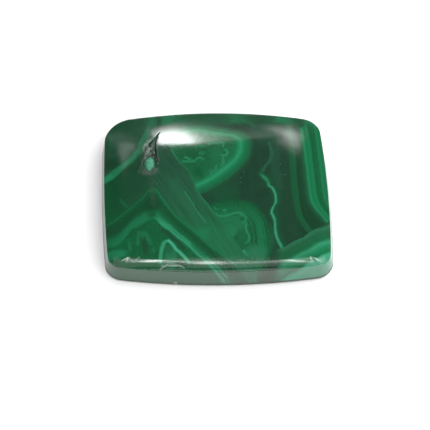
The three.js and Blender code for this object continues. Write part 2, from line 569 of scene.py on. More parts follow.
class Tone:
    """The banding as it is painted over a plan place: how light the green is, and how grey."""

    def __init__(self, sheet, place, light, grey):
        self.sheet = sheet
        self.place = place
        self.light = light
        self.grey = grey

    def next_layer(self):
        """Lets the places of the next layer follow from the tone so far. The shift is far too small
        to see. It makes the renderer finish one layer before it starts on the next, so that it
        never holds more values at a time than it has room for."""
        shift = self.light * TINY
        self.place = self.sheet.add("ShaderNodeVectorMath", {"operation": "ADD"}, {0: self.place, 1: shift})

    def paint(self, light, grey, share):
        """Paints a tone over this one, as far as share says."""
        self.light = self.sheet.mix(self.light, light, share)
        self.grey = self.sheet.mix(self.grey, grey, share)

    def stroke(self, points, half_width, soft, light, grey, strength=1.0):
        """Paints a line drawn through plan points."""
        share = self.sheet.drawn(self.place, points, half_width, soft) * strength
        self.paint(light, grey, share)

    def dab(self, centre, half_width, half_height, soft, light, grey, angle=0.0):
        """Paints an oval whose edge is soft by a share of its size."""
        self.paint(light, grey, self.sheet.spot(self.place, centre, half_width, half_height, soft, angle))


# The banding of the malachite, drawn in plan millimetres

ZONE_LINE = (
    (-6.6, 8.5), (-4.55, 3.9), (-4.25, 3.2), (-3.5, 2.07), (-2.9, 1.3), (-2.5, 0.4), (-1.9, -1.35),
    (-1.4, -2.1), (-1.0, -2.7), (-0.33, -3.7), (1.3, -6.0), (4.5, -10.5),
)
FIBRE_ANGLE = -61
FIRST_CHEVRON = (
    (-12.8, -4.6), (-11.9, -4.1), (-11, -3.7), (-10, -3.1), (-9, -2.45), (-8.4, -1.9), (-7.8, -1.4),
    (-6.9, -0.6), (-6.4, -0.7), (-5.9, -1.5), (-5.35, -2.4), (-4.7, -3.4), (-3.85, -4.35),
    (-3, -5.15), (-1.9, -6.2), (-0.8, -7.2), (0.1, -7.9), (2.2, -9.4), (5, -11.5),
)
SECOND_CHEVRON = (
    (-12.8, -6.0), (-11.5, -6.1), (-11, -6.2), (-10.4, -5.95), (-10, -5.6), (-9.4, -4.9), (-9, -4.5),
    (-8.2, -4.1), (-7.6, -3.8), (-6.85, -3.4), (-5.9, -4.1), (-5.1, -4.85), (-4.25, -5.7),
    (-3.4, -6.45), (-3, -6.8), (-2.3, -7.5), (-1.6, -8.1), (0.4, -9.8), (3, -12),
)
# How light the green is from the first chevron, at 0, to the second, at 1, and past it.
LEFT_CHEVRON_TONES = (
    (-0.3, 0.2), (-0.08, 0.24), (0.0, 0.33), (0.06, 0.26), (0.15, 0.19), (0.3, 0.13), (0.5, 0.13),
    (0.62, 0.19), (0.75, 0.29), (0.85, 0.42), (0.95, 0.47), (1.1, 0.47), (1.22, 0.4), (1.4, 0.28),
)
RIGHT_CHEVRON_TONES = (
    (-0.3, 0.28), (-0.1, 0.31), (0.0, 0.44), (0.08, 0.33), (0.2, 0.23), (0.3, 0.17), (0.45, 0.15),
    (0.52, 0.19), (0.6, 0.23), (0.75, 0.27), (0.88, 0.36), (0.94, 0.5), (1.0, 0.55), (1.05, 0.36),
    (1.11, 0.6), (1.2, 0.76), (1.3, 0.55), (1.42, 0.32), (1.6, 0.28),
)
CORNER_BAND = (
    (-13, 1.0), (-11.85, 1.45), (-11.35, 1.6), (-10.6, 2.15), (-9.95, 2.65), (-9.25, 3.15),
    (-8.75, 3.65), (-8.25, 4.25), (-7.95, 5.15), (-7.6, 6.0), (-7.2, 6.85), (-6.95, 7.75),
    (-6.5, 9.2),
)
# How light the green is along the back edge, by the place along it.
BACK_TONES = (
    (-13, 0.12), (-8, 0.14), (-7.3, 0.35), (-6.8, 0.42), (-6.4, 0.36), (-6.05, 0.18), (-5.7, 0.42),
    (-5.0, 0.5), (-4.2, 0.4), (-3, 0.3), (-1, 0.24), (1, 0.28), (2.4, 0.42), (3.2, 0.36), (4, 0.25),
    (5, 0.17), (6, 0.24), (7.4, 0.5), (8.4, 0.45), (9.2, 0.28), (9.9, 0.34), (10.8, 0.52), (12, 0.5),
)
UPPER_NODULE_CENTRE = (-2.0, 4.0)
UPPER_NODULE = (
    (-180, 5.2), (-130, 5.0), (-95, 4.5), (-78, 4.05), (-67, 3.9), (-51, 3.8), (-35, 3.96),
    (-26, 4.12), (-13, 4.5), (-4, 4.68), (9, 4.84), (21, 4.5), (38, 3.3), (67, 2.6), (110, 2.6),
    (180, 5.2),
)
UPPER_NODULE_TONES = (
    (-2.5, 0.34), (-1.0, 0.39), (-0.6, 0.43), (-0.4, 0.5), (-0.2, 0.65), (0.0, 0.74), (0.2, 0.66),
    (0.4, 0.52), (0.75, 0.43), (1.05, 0.33), (1.3, 0.18), (1.7, 0.12),
)
LOWER_NODULE_CENTRE = (1.5, -6.5)
LOWER_NODULE = (
    (-180, 4.2), (-60, 4.2), (-24, 3.89), (-6, 3.52), (14, 3.5), (29, 3.65), (41, 3.79), (53, 3.93),
    (66, 3.94), (82, 3.78), (108, 3.83), (180, 4.2),
)
LOWER_NODULE_TONES = (
    (-3.0, 0.35), (-1.6, 0.36), (-1.35, 0.26), (-1.2, 0.4), (-1.0, 0.26), (-0.8, 0.36), (-0.65, 0.5),
    (-0.5, 0.4), (-0.35, 0.5), (-0.15, 0.36), (0.0, 0.44), (0.15, 0.26), (0.35, 0.32), (0.6, 0.18), (0.9, 0.12),
)
SQUIGGLE = (
    (4.2, 2.0), (4.6, 1.2), (5.0, 0.55), (5.5, 0.05), (5.65, -0.6), (6.0, -0.85), (6.2, -1.4),
    (6.3, -2.1), (6.25, -2.6), (5.9, -3.35), (5.8, -3.85), (6.0, -4.35), (6.1, -4.8), (6.07, -5.6),
    (6.25, -6.45), (6.5, -7.1), (6.85, -7.7), (7.6, -8.6), (8.6, -10.5),
)
RIGHT_EDGE = (
    (9.3, 9.5), (9.7, 5.0), (9.8, 3.0), (9.88, 1.5), (9.92, 0.5), (10.0, -1.0), (10.15, -2.1),
    (10.5, -2.85), (11.0, -3.5), (11.5, -4.1), (12.6, -5.1),
)
MIDDLE_BAND = (
    (8.1, 9.5), (8.35, 4.0), (8.38, 2.0), (8.38, 0), (8.45, -1.5), (8.6, -3.0), (8.8, -4.2),
    (9.3, -5.0), (9.7, -5.6), (10.8, -7.0),
)
# How light the green is across the right edge's layers, by the distance from their first line.
RIGHT_EDGE_TONES = (
    (-1.2, 0.1), (-0.75, 0.08), (-0.5, 0.09), (-0.4, 0.22), (-0.3, 0.24), (-0.16, 0.33), (0.0, 0.57),
    (0.12, 0.56), (0.22, 0.47), (0.33, 0.43), (0.45, 0.5), (0.58, 0.53), (0.75, 0.42), (1.0, 0.3),
    (1.3, 0.32), (1.5, 0.42), (1.7, 0.52), (1.85, 0.42), (2.1, 0.5), (2.6, 0.45),
)
FRONT_LINE = (
    (5.0, -8.6), (6.15, -7.85), (7.0, -7.5), (8.07, -6.9), (9.07, -6.4), (9.7, -5.9), (10.5, -5.35),
    (11.2, -5.0), (11.85, -4.5), (13, -3.6),
)
# How light and how grey the green is on the front side of the front line, by the distance from it.
FRONT_TONES = (
    (-0.3, 0.1), (-0.1, 0.28), (0.04, 0.48), (0.2, 0.42), (0.4, 0.36), (0.6, 0.32), (0.75, 0.36),
    (0.95, 0.35), (1.15, 0.42), (1.32, 0.62), (1.5, 0.78), (1.7, 0.7), (1.95, 0.6), (2.15, 0.55),
    (2.32, 0.45), (2.5, 0.75), (2.8, 0.95), (3.6, 0.85),
)
FRONT_GREYS = ((-0.3, 0.6), (0.05, 0.9), (0.5, 0.6), (1.0, 0.3), (1.5, 0.6), (2.0, 0.1), (2.35, 0.1), (2.7, 0.6))


def paint_left_field(sheet, place, x, y):
    """The left part: a dark field with the corner band over it."""
    first, _ = sheet.beside(place, FIRST_CHEVRON, angle=0)
    shade = first.curve(((-1, 0.3), (0, 0.26), (0.6, 0.22), (1.2, 0.2), (3, 0.16), (5, 0.13), (9, 0.1)))
    shade = shade + sheet.cloud(place, 0.6, 4.0) * 0.14 + sheet.layers(first, 3.0, 4.0) * 0.14
    shade = shade + x.step(-10.5, -12) * 0.08 - x.step(-9.5, -7.5) * 0.05
    tone = Tone(sheet, place, shade, sheet.mix(0.05, 0.6, x.step(-11.5, -8.5)))
    band, _ = sheet.beside(place, CORNER_BAND)
    tone.paint(0.17 + sheet.cloud(place, 1.1, 3.0) * 0.2, 0.8, band.step(0.3, 0.8))
    tone.dab((-11.4, 6.2), 0.3, 1.0, 0.8, 0.26, 0.9, 8)
    tone.dab((-11.3, 3.2), 1.0, 0.7, 0.7, 0.08, 0.3)
    narrowing = x.curve(((-13, 0.3), (-11, 0.24), (-9.6, 0.12), (-8.5, 0.12), (-7.6, 0.24), (-6.8, 0.3)))
    glow = x.curve((
        (-13, 0.55), (-11.4, 0.7), (-10.7, 0.56), (-9.9, 0.6), (-8.6, 0.56), (-7.7, 0.42), (-6.9, 0.4),
    ))
    grey = x.curve(((-13, 0.3), (-10.5, 0.4), (-9, 0.8), (-6, 1)))
    tone.paint(glow + sheet.cloud(place, 2.2, 3.0) * 0.2, grey, (abs(band) - narrowing).step(0.5, -0.05))
    tone.stroke(((-10.4, -1.1), (-10, -1.85), (-9.4, -2.4)), 0.06, 0.2, 0.4, 0.3, 0.7)
    return tone, first


def paint_back(sheet, tone, x, y):
    """The uneven tones along the back edge."""
    tone.paint(x.curve(BACK_TONES) + sheet.cloud(tone.place, 1.6) * 0.14, 0.6, y.step(7.0, 8.0))
    tone.stroke(((3.0, 8.4), (3.9, 7.6), (4.5, 7.1)), 0.05, 0.35, 0.42, 0.7, 0.6)
    tone.dab((9.4, 7.6), 0.5, 0.5, 0.5, 0.16, 0.0)


def paint_diagonal(sheet, tone, x, y, first):
    """The broad silky band that runs down from the pit, between the chevrons and the nodules."""
    zone, _ = sheet.beside(tone.place, ZONE_LINE)
    shade = y.curve((
        (-10, 0.46), (-7.4, 0.45), (-6.0, 0.46), (-4.6, 0.37), (-2.6, 0.32), (0, 0.25), (2, 0.19), (5, 0.17), (9, 0.2),
    ))
    grey = y.curve(((-10, 0.5), (-5, 0.5), (-2.6, 0.8), (2, 0.95)))
    along, across = sheet.framed(tone.place, (0, 0), math.radians(FIBRE_ANGLE))
    silk = sheet.cloud(sheet.join(along * 0.22, across * 2.6, 0), 1.0, 4.0, 0.6)
    fine_silk = sheet.cloud(sheet.join(along * 0.5, across * 8, 0), 1.0, 2.0)
    tone.paint(shade + silk * 0.32 + fine_silk * 0.2, grey, x.step(-7.3, -6.3) * first.step(-0.08, 0.08))
    # A pale grey streak down the middle of the band: the fibres' silky sheen, painted.
    tone.stroke(((-4.6, 0.4), (-3.5, -1.9), (-2.5, -3.6), (-1.7, -5.0)), 0.2, 0.6, 0.42, 0.9, 0.5)
    tone.stroke(((-3.4, -1.1), (-2.8, -2.1), (-2.4, -2.8), (-1.8, -3.9), (-1.17, -4.85)), 0.03, 0.12, 0.6, 0.7, 0.8)
    tone.stroke(((-2.25, -2.8), (-1.9, -3.5)), 0.02, 0.1, 0.2, 0.7, 0.8)
    tone.stroke(((-1.9, -6.3), (-1.2, -6.25)), 0.06, 0.15, 0.64, 0.4, 0.9)
    tone.stroke(((-1.8, -5.95), (-1.3, -5.95)), 0.04, 0.12, 0.58, 0.4, 0.6)
    tone.dab((-1.7, -6.1), 0.9, 0.6, 0.7, 0.52, 0.3, 30)
    return zone


def paint_chevrons(sheet, tone, x, y, first):
    """The nested chevrons of the lower left."""
    second, _ = sheet.beside(tone.place, SECOND_CHEVRON, angle=0)
    across = (0 - first) / abs(second - first).at_least(0.3)
    right_arm = x.step(-7.0, -5.8)
    shade = sheet.mix(across.curve(LEFT_CHEVRON_TONES), across.curve(RIGHT_CHEVRON_TONES), right_arm)
    thin = sheet.layers(across, 6.0, 4.0) * 0.2 + sheet.layers(across, 14.0, 2.0) * 0.18 * right_arm
    tone.paint(shade + thin + 0.05, 0.25, across.step(-0.1, 0.0))
    tone.dab((-6.9, -2.5), 0.8, 0.75, 0.6, 0.12, 0.3)
    tone.dab((-6.9, -3.5), 0.5, 0.35, 0.6, 0.3, 0.2)
    below = 0 - second
    inside = sheet.mix(below.step(0.45, 0.8), below.step(0.65, 0.85), right_arm)
    tone.paint(0.33 + sheet.cloud(tone.place, 1.5, 4.0, 0.6) * 0.24, 0.15, inside)
    for ray in (
        ((-8.27, -5.3), (-8.5, -6.85)), ((-7.95, -5.3), (-7.85, -6.2)), ((-7.7, -5.4), (-6.95, -6.85)),
        ((-9.4, -6.0), (-9.2, -7.3)), ((-6.83, -7.2), (-6.83, -7.7)),
    ):
        tone.stroke(ray, 0.03, 0.25, 0.52, 0.5, 0.7)
    tone.dab((-7.7, -6.95), 0.3, 0.85, 0.5, 0.16, 0.6, 8)
    tone.dab((-11.1, -7.55), 1.5, 0.5, 0.4, 0.62, 0.3)
    tone.stroke(((-11.8, -6.75), (-11, -6.8), (-10, -6.75), (-9.5, -6.35), (-9.3, -5.7)), 0.04, 0.12, 0.38, 0.0)
    tone.stroke(((-5.9, -5.2), (-5.1, -5.9), (-4.25, -6.7), (-3.6, -7.5)), 0.1, 0.16, 0.17, 0.6)
    tone.dab((-4.95, -8.1), 0.6, 1.1, 0.4, 0.52, 0.4)
    tone.dab((-5.1, -7.4), 0.35, 0.45, 0.6, 0.38, 0.3)
    tone.stroke(((-6.1, -8.8), (-5.98, -7.6), (-5.72, -6.85), (-5.2, -6.45)), 0.08, 0.26, 0.8, 0.4)
    tone.stroke(((-5.25, -6.45), (-4.7, -7.0), (-4.3, -7.5), (-3.8, -8.0), (-3.0, -8.8)), 0.08, 0.15, 0.98, 0.6)
    tone.stroke(((-6.3, -3.95), (-5.4, -4.7), (-4.6, -5.35), (-3.6, -6.3), (-2.85, -7.0)), 0.02, 0.08, 0.85, 0.5, 0.8)


def paint_right_field(sheet, tone, zone, x, y):
    """The right part's dark ground, and the broad bands at its right."""
    middle, _ = sheet.beside(tone.place, MIDDLE_BAND)
    ground = 0.05 + sheet.cloud(tone.place, 0.7, 4.0) * 0.14 + sheet.layers(middle, 2.0, 4.0) * 0.12
    tone.paint(ground, sheet.mix(0.8, 0.4, x.step(8.3, 9.2)), zone.step(-0.06, 0.06))
    tone.stroke(((6.5, 6.5), (6.6, 4.0), (6.45, 1.5), (6.8, -1.0)), 0.2, 0.6, 0.15, 1.0, 0.8)
    tone.dab((0.7, -1.4), 1.5, 1.2, 0.6, 0.16, 0.5)
    tone.dab((5.4, 6.4), 1.4, 1.6, 0.5, 0.14, 1.0)
    tone.dab((5.4, -6.7), 0.6, 1.3, 0.7, 0.28, 0.9, -10)
    tone.paint(0.23 + sheet.layers(middle, 5, 3.0) * 0.2, 0.35, middle.near(0, 0.24, 0.2))
    edge, _ = sheet.beside(tone.place, RIGHT_EDGE)
    layered = edge.curve(RIGHT_EDGE_TONES) + sheet.layers(edge, 6, 4.0) * 0.34
    tone.paint(layered, edge.curve(((-0.5, 0.5), (0.0, 0.3), (0.3, 0.05), (2.5, 0.2))), edge.step(-0.9, -0.6))
    return edge


def paint_upper_nodule(sheet, tone, zone):
    """The upper nodule: a bright curved band around a mottled core with pale scallops."""
    place = tone.place
    ring, angle = sheet.around(place, UPPER_NODULE_CENTRE, UPPER_NODULE)
    share = zone.step(-0.06, 0.06) * ring.step(1.7, 1.2)
    core = ring.step(-0.4, -0.9)
    mottle = sheet.cloud(place, 2.6, 4.0, 0.7) * (0.08 + 0.26 * core)
    shade = ring.curve(UPPER_NODULE_TONES) + sheet.layers(ring, 4.0, 4.0) * 0.2 + mottle
    grey = ring.curve(((-2, 0.3), (-0.8, 0.3), (-0.4, 0.15), (0.5, 0.1), (0.95, 0.3), (1.3, 0.7)))
    tone.paint(shade, grey, share)
    tone.dab((-2.7, 3.5), 0.8, 0.4, 0.7, 0.28, 0.2, -20)
    tone.dab((-1.9, 1.2), 0.5, 0.8, 0.7, 0.29, 0.1, 25)
    tone.dab((-1.0, 4.8), 0.2, 0.15, 0.6, 0.2, 0.2)
    tone.dab((0.2, 3.3), 0.7, 0.9, 0.7, 0.42, 0.4)
    tone.dab((-1.45, 3.5), 0.3, 0.22, 0.6, 0.5, 0.4)
    tone.dab((-1.4, 4.5), 0.4, 0.2, 0.6, 0.48, 0.4)
    for line in (
        ((-3.6, 2.57), (-2.4, 2.5), (-1.75, 2.9), (-1.2, 2.7)), ((-0.83, 4.65), (-0.08, 4.8), (0.33, 4.7), (0.9, 4.9)),
        ((0.96, 4.9), (0.9, 4.15)), ((0.83, 2.95), (0.8, 2.1)), ((-3.3, 3.1), (-2.6, 2.75)),
    ):
        tone.stroke(line, 0.05, 0.15, 0.64, 0.5, 0.9)
    tone.stroke(
        ((-0.5, 0.71), (-0.4, 1.19), (0.02, 1.36), (0.13, 2.01), (0.6, 1.83), (0.87, 2.24), (0.87, 2.83)),
        0.04, 0.14, 0.62, 0.4,
    )
    tone.paint(0.68, 0.5, sheet.curl(place, (0.95, 3.52), 0.4, 0.06, 0.12, 150))


def paint_lower_nodule(sheet, tone, zone):
    """The lower nodule: faint rings around a swirled core, with a pale scalloped line."""
    place = tone.place
    ring, angle = sheet.around(place, LOWER_NODULE_CENTRE, LOWER_NODULE)
    ring = ring + sheet.cloud(place, 0.9) * 0.3
    swirl, _ = sheet.around(place, (1.2, -5.8), ((-180, 1), (0, 1.2), (180, 1)))
    ringed = angle.step(1.2, 0.4)
    shade = sheet.mix(ring.curve(((-1, 0.4), (-0.3, 0.36), (0.1, 0.3), (0.7, 0.17))), ring.curve(LOWER_NODULE_TONES), ringed)
    shade = shade + sheet.layers(swirl, 3.0, 4.0) * 0.24 + sheet.cloud(place, 2.4, 3.0) * 0.12
    tone.paint(shade, sheet.mix(0.2, 0.35, ring.step(-0.6, -1.4)), zone.step(-0.06, 0.06) * ring.step(0.95, 0.1))
    tone.dab((-0.15, -3.2), 0.25, 0.12, 0.6, 0.52, 0.3, -40)
    tone.dab((0.83, -3.43), 0.2, 0.16, 0.5, 0.62, 0.2)
    tone.dab((0.95, -3.8), 0.16, 0.12, 0.5, 0.5, 0.2)
    for line in (
        ((-0.1, -3.75), (0.33, -4.1), (0.9, -4.05), (1.5, -3.93), (2.1, -3.73), (2.6, -3.8), (2.85, -4.0)),
        ((3.05, -4.9), (3.0, -5.4), (3.1, -5.9), (3.3, -6.4), (3.17, -6.85), (2.8, -7.1)),
    ):
        tone.stroke(line, 0.05, 0.15, 0.62, 0.4)
    tone.dab((2.6, -4.45), 0.22, 0.22, 0.6, 0.33, 0.1)
    tone.paint(0.58, 0.3, sheet.curl(place, (2.62, -4.42), 0.42, 0.06, 0.12, 190))
    tone.stroke(((2.6, -7.75), (3.2, -8.3)), 0.08, 0.15, 0.75, 0.6)
    tone.dab((4.0, -8.0), 1.0, 0.7, 0.6, 0.52, 0.7)


def paint_front_corner(sheet, tone, x):
    """The bright bands of the front right corner."""
    front, along = sheet.beside(tone.place, FRONT_LINE)
    below = 0 - front - (x - 9.9).at_least(0) * 0.12
    shade = below.curve(FRONT_TONES) + sheet.layers(front, 5, 4.0) * 0.28 + sheet.cloud(tone.place, 1.2) * 0.1
    tone.paint(shade, below.curve(FRONT_GREYS), front.step(0.16, -0.05) * x.step(5.4, 7.0))


def paint_squiggle(sheet, tone, x, y):
    """The pale wavering line in the dark field, with a faint green halo."""
    line, _ = sheet.beside(tone.place, SQUIGGLE)
    length = y.step(1.2, 0.5)
    tone.paint(0.17, 0.4, line.near(0.15, 0.15, 0.7) * length)
    tone.paint(0.46, 0.6, line.near(0, 0.05, 0.28) * length)
    tone.paint(0.76 + sheet.cloud(tone.place, 3.0) * 0.3, 1.0, line.near(0, 0.06, 0.12) * y.step(0.2, -0.9))
    tone.dab((5.22, 0.35), 0.42, 0.2, 0.5, 0.56, 0.7, -50)
    tone.stroke(
        ((5.9, 4.9), (6.07, 4.0), (6.15, 3.3), (6.0, 2.7), (5.65, 2.1), (5.2, 1.5), (5.0, 1.05)),
        0.06, 0.28, 0.27, 1.0, 0.9,
    )
    for centre in ((7.0, 2.1), (7.0, 0.8), (7.45, 0.8), (2.7, 0.4), (2.6, -0.2), (3.0, 1.0)):
        tone.dab(centre, 0.09, 0.06, 0.5, 0.4, 1.0, 20)


def paint_banding(sheet, place, x, y):
    """All of the banding, from the ground up."""
    tone, first = paint_left_field(sheet, place, x, y)
    tone.next_layer()
    zone = paint_diagonal(sheet, tone, x, y, first)
    tone.next_layer()
    paint_chevrons(sheet, tone, x, y, first)
    tone.next_layer()
    paint_right_field(sheet, tone, zone, x, y)
    paint_squiggle(sheet, tone, x, y)
    tone.next_layer()
    paint_upper_nodule(sheet, tone, zone)
    tone.next_layer()
    paint_lower_nodule(sheet, tone, zone)
    tone.next_layer()
    paint_front_corner(sheet, tone, x)
    paint_back(sheet, tone, x, y)
    fading = y.curve(((-7, 0), (-5, 0.3), (-2.7, 0.9), (-1.3, 0.8), (0, 0.5), (2.6, 0.6), (3.2, 1), (4.2, 1), (5.2, 0)))
    tone.paint(0.5, 0.6, zone.near(0, 0.05, 0.12) * fading.at_least(0))
    tone.stroke(((-1.3, -8.3), (0.2, -9.5), (1.0, -10.1)), 0.04, 0.12, 0.7, 0.6)
    tone.light = tone.light + sheet.cloud(tone.place, 6.0, 4.0, 0.7) * 0.16
    return tone


# The marks around the pit and along the front edge, which are matt, and the painted shadow along the bottom of the wall

def paint_pit(sheet, place, colour, settings):
    """The plug, the grey crust around it and the crack above it. It gives back the colour, and
    how matt it is."""
    speckle = sheet.cloud(place, 5.0, 1.0)
    fleck = speckle.step(-0.03, 0.05)
    crack = sheet.drawn(place, (
        (-5.95, 6.6), (-6.28, 5.85), (-6.4, 4.9), (-6.4, 4.0), (-6.27, 3.3), (-6.14, 2.4),
    ), 0.03, 0.1)
    wedge = sheet.drawn(place, ((-6.25, 6.0), (-6.55, 5.2), (-6.75, 4.4)), 0.12, 0.2)
    bloom = sheet.spot(place, (-7.42, 4.5), 0.36, 0.6, 0.4, 10)
    rind = sheet.drawn(place, ((-7.75, 4.9), (-7.6, 3.8), (-7.72, 3.1), (-7.95, 2.3), (-8.3, 1.6)), 0.04, 0.16)
    rind_right = sheet.drawn(place, ((-6.3, 3.9), (-6.1, 3.3), (-5.97, 2.6)), 0.03, 0.1)
    skirt = sheet.spot(place, (-7.1, 1.6), 1.0, 0.5, 0.4)
    streaks = sheet.drawn(place, ((-7.2, 1.6), (-6.95, 0.2), (-6.8, -1.2), (-6.65, -2.6)), 0.04, 0.45)
    colour = sheet.mix_colour(colour, settings.crust, streaks * (0.1 + 0.3 * fleck))
    colour = sheet.mix_colour(colour, settings.crust, skirt * (0.1 + 0.5 * fleck))
    colour = sheet.mix_colour(colour, settings.slate, sheet.spot(place, (-7.0, 3.4), 0.72, 1.7, 0.15) * 0.8)
    colour = sheet.mix_colour(colour, settings.crust, wedge * (0.5 + 0.5 * fleck))
    colour = sheet.mix_colour(colour, settings.bloom, bloom * fleck * 0.9)
    colour = sheet.mix_colour(colour, settings.crust, (rind + rind_right).at_most(1) * (0.35 + 0.5 * fleck))
    colour = sheet.mix_colour(colour, settings.crack, crack)
    plug = sheet.spot(place, (-7.09, 2.63), 0.55, 0.85, 0.12)
    ring = sheet.spot(place, (-7.09, 2.63), 0.68, 1.0, 0.12)
    colour = sheet.mix_colour(colour, settings.crack, ring * 0.75)
    plug_colour = sheet.mix_colour(settings.plug, settings.leaf, speckle.step(0.0, -0.1) * 0.8)
    colour = sheet.mix_colour(colour, plug_colour, plug)
    matt = ring + wedge + bloom + crack + skirt * 0.4
    return colour, matt.at_most(1)


def paint_front_edge(sheet, place, x, y, z, colour, settings):
    """The worn specks along the front edge, the rim of the chip, a small forked dent, a frosted patch
    with a painted sheen on the front shoulder's highlight, and a painted contact shadow along the
    bottom of the wall, dark and matt, with a nick in it."""
    specks = sheet.cloud(place, 9.0, 2.0).step(0.1, 0.22)
    worn = z.near(FRONT_EDGE_HEIGHT + 0.08, 0.06, 0.1) * y.step(-7, -8.5)
    rim = sheet.drawn(place, (
        (-6.2, -9.2), (-5.85, -9.05), (-5.45, -8.85), (-4.95, -8.76), (-4.4, -8.85), (-3.95, -9.0), (-3.55, -9.2),
    ), 0.03, 0.1)
    dent = sheet.drawn(place, ((-9.47, -8.01), (-8.85, -8.48)), 0.03, 0.08)
    dent = dent + sheet.drawn(place, ((-8.85, -8.48), (-8.2, -7.97)), 0.03, 0.08)
    # A frosted, matt patch whose whitish colour is a painted sheen, laid where the front highlight falls.
    frost_and_sheen = sheet.spot(place, (1.2, -8.85), 4.6, 0.42, 0.7, 1) * sheet.cloud(place, 5.0, 4.0, 0.8).step(-0.02, 0.16)
    marks = worn * specks * 0.8 + frost_and_sheen * 0.35 + rim * 0.5 + dent * (0.2 + 0.6 * specks)
    nick = x.near(-4.6, 0.12, 0.12) * z.near(0.55, 0.12, 0.12) * y.step(-7, -8.5)
    # Painted contact shadow: the bottom of the wall all round is painted deep green and made matt.
    foot_shadow = z.step(0.7, 0.5) * (0.85 - nick)
    colour = sheet.mix_colour(colour, settings.bloom, (marks + nick).at_most(1))
    return sheet.mix_colour(colour, settings.deep, foot_shadow), (marks + foot_shadow).at_least(0).at_most(1)


def relief(sheet, in_mm, plan, x, z):
    """The surface's fine relief: a faint waviness of the polish, a grain in the pit, and the saw's
    marks on the underside."""
    waves = sheet.cloud(in_mm, 1.3, 2.0) * 4.0 + sheet.cloud(in_mm, 6.0, 3.0) * 0.7
    worn = sheet.cloud(in_mm, 8.0, 3.0, 0.6) * 5.0 * z.near(FRONT_EDGE_HEIGHT + 0.25, 0.15, 0.3)
    grain = sheet.cloud(in_mm, 9.0, 3.0, 0.7) * 20.0 * sheet.spot(plan, (-7.1, 3.3), 0.9, 2.1, 0.3)
    sawn = sheet.layers(x, 9.0, 3.0) * 6.0 * z.step(0.1, 0.03)
    return sheet.add("ShaderNodeBump", {}, {"Strength": 1, "Distance": MICRON, "Height": waves + worn + grain + sawn})


def malachite(settings):
    """Banded malachite, polished above and ground below."""
    material = bpy.data.materials.new("malachite")
    material.use_nodes = True
    material.node_tree.nodes.clear()
    sheet = Sheet(material)
    metres = sheet.add("ShaderNodeTexCoord", output=3)
    in_mm = sheet.add("ShaderNodeVectorMath", {"operation": "SCALE"}, {0: metres, "Scale": 1 / MM})
    x, y, z = sheet.split(in_mm)
    plan = sheet.join(x, y, 0)
    outward = 1 + (FRONT_EDGE_HEIGHT - z).at_least(0) * 0.02
    waver = sheet.cloud(in_mm, 1.1, 3.0)
    waver_across = sheet.cloud(in_mm, 1.7, 3.0)
    wavered_x = x * outward + waver * 0.2
    wavered_y = y * outward + waver_across * 0.2
    place = sheet.join(wavered_x, wavered_y, 0)
    tone = paint_banding(sheet, place, wavered_x, wavered_y)
    clear = sheet.add("ShaderNodeValToRGB", {"stops": (
        (0.0, settings.deep), (1 / 3, settings.leaf), (2 / 3, settings.bright), (1.0, settings.mint),
    )}, {"Fac": tone.light})
    greyed = sheet.add("ShaderNodeValToRGB", {"stops": (
        (0.0, settings.slate), (1 / 3, settings.moss), (2 / 3, settings.silk), (1.0, settings.foam),
    )}, {"Fac": tone.light})
    colour = sheet.mix_colour(clear, greyed, tone.grey * (0.3 + 0.7 * z.step(2.0, 2.6)))
    colour, pitted = paint_pit(sheet, plan, colour, settings)
    # worn holds the front edge's worn marks, the painted sheen on its highlight and the painted contact shadow at the
    # bottom of the wall; all are made matt.
    colour, worn = paint_front_edge(sheet, plan, x, y, z, colour, settings)
    matt = (pitted * z.step(1.5, 2.2) + worn).at_most(1)
    ground = z.step(0.14, 0.05)
    colour = sheet.mix_colour(colour, settings.crust, ground * 0.2)
    roughness = sheet.mix(sheet.mix(settings.polish, settings.matt, matt), settings.grinding, ground)
    shader = sheet.add("ShaderNodeBsdfPrincipled", {}, {
        "Base Color": colour, "Roughness": roughness, "IOR": settings.refraction,
        "Normal": relief(sheet, in_mm, plan, x, z),
    })
    sheet.add("ShaderNodeOutputMaterial", {}, {"Surface": shader})
    return material


# Operators

def link(name, data):
    """Adds an object to the scene."""
    thing = bpy.data.objects.new(name, data)
    bpy.context.collection.objects.link(thing)
    return thing


class GEM_OT_build_cabochon(bpy.types.Operator):
    """Builds the cabochon with its pit, plug and chip, and gives it its malachite"""

    bl_idname = "gem.build_cabochon"
    bl_label = "Build cabochon"

    def execute(self, context):
        settings = context.scene.cabochon
        cabochon = link("polished_cabochon", stone_mesh())
        cabochon.data.materials.append(malachite(settings))
        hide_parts(STONE)
        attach(cabochon, "root")
        return {"FINISHED"}


def towards(azimuth, elevation):
    """The direction from the stone to a place behind it, turned to the right by azimuth degrees."""
    azimuth = math.radians(azimuth)
    elevation = math.radians(elevation)
    flat = math.cos(elevation)
    return Vector((math.sin(azimuth) * flat, math.cos(azimuth) * flat, math.sin(elevation)))


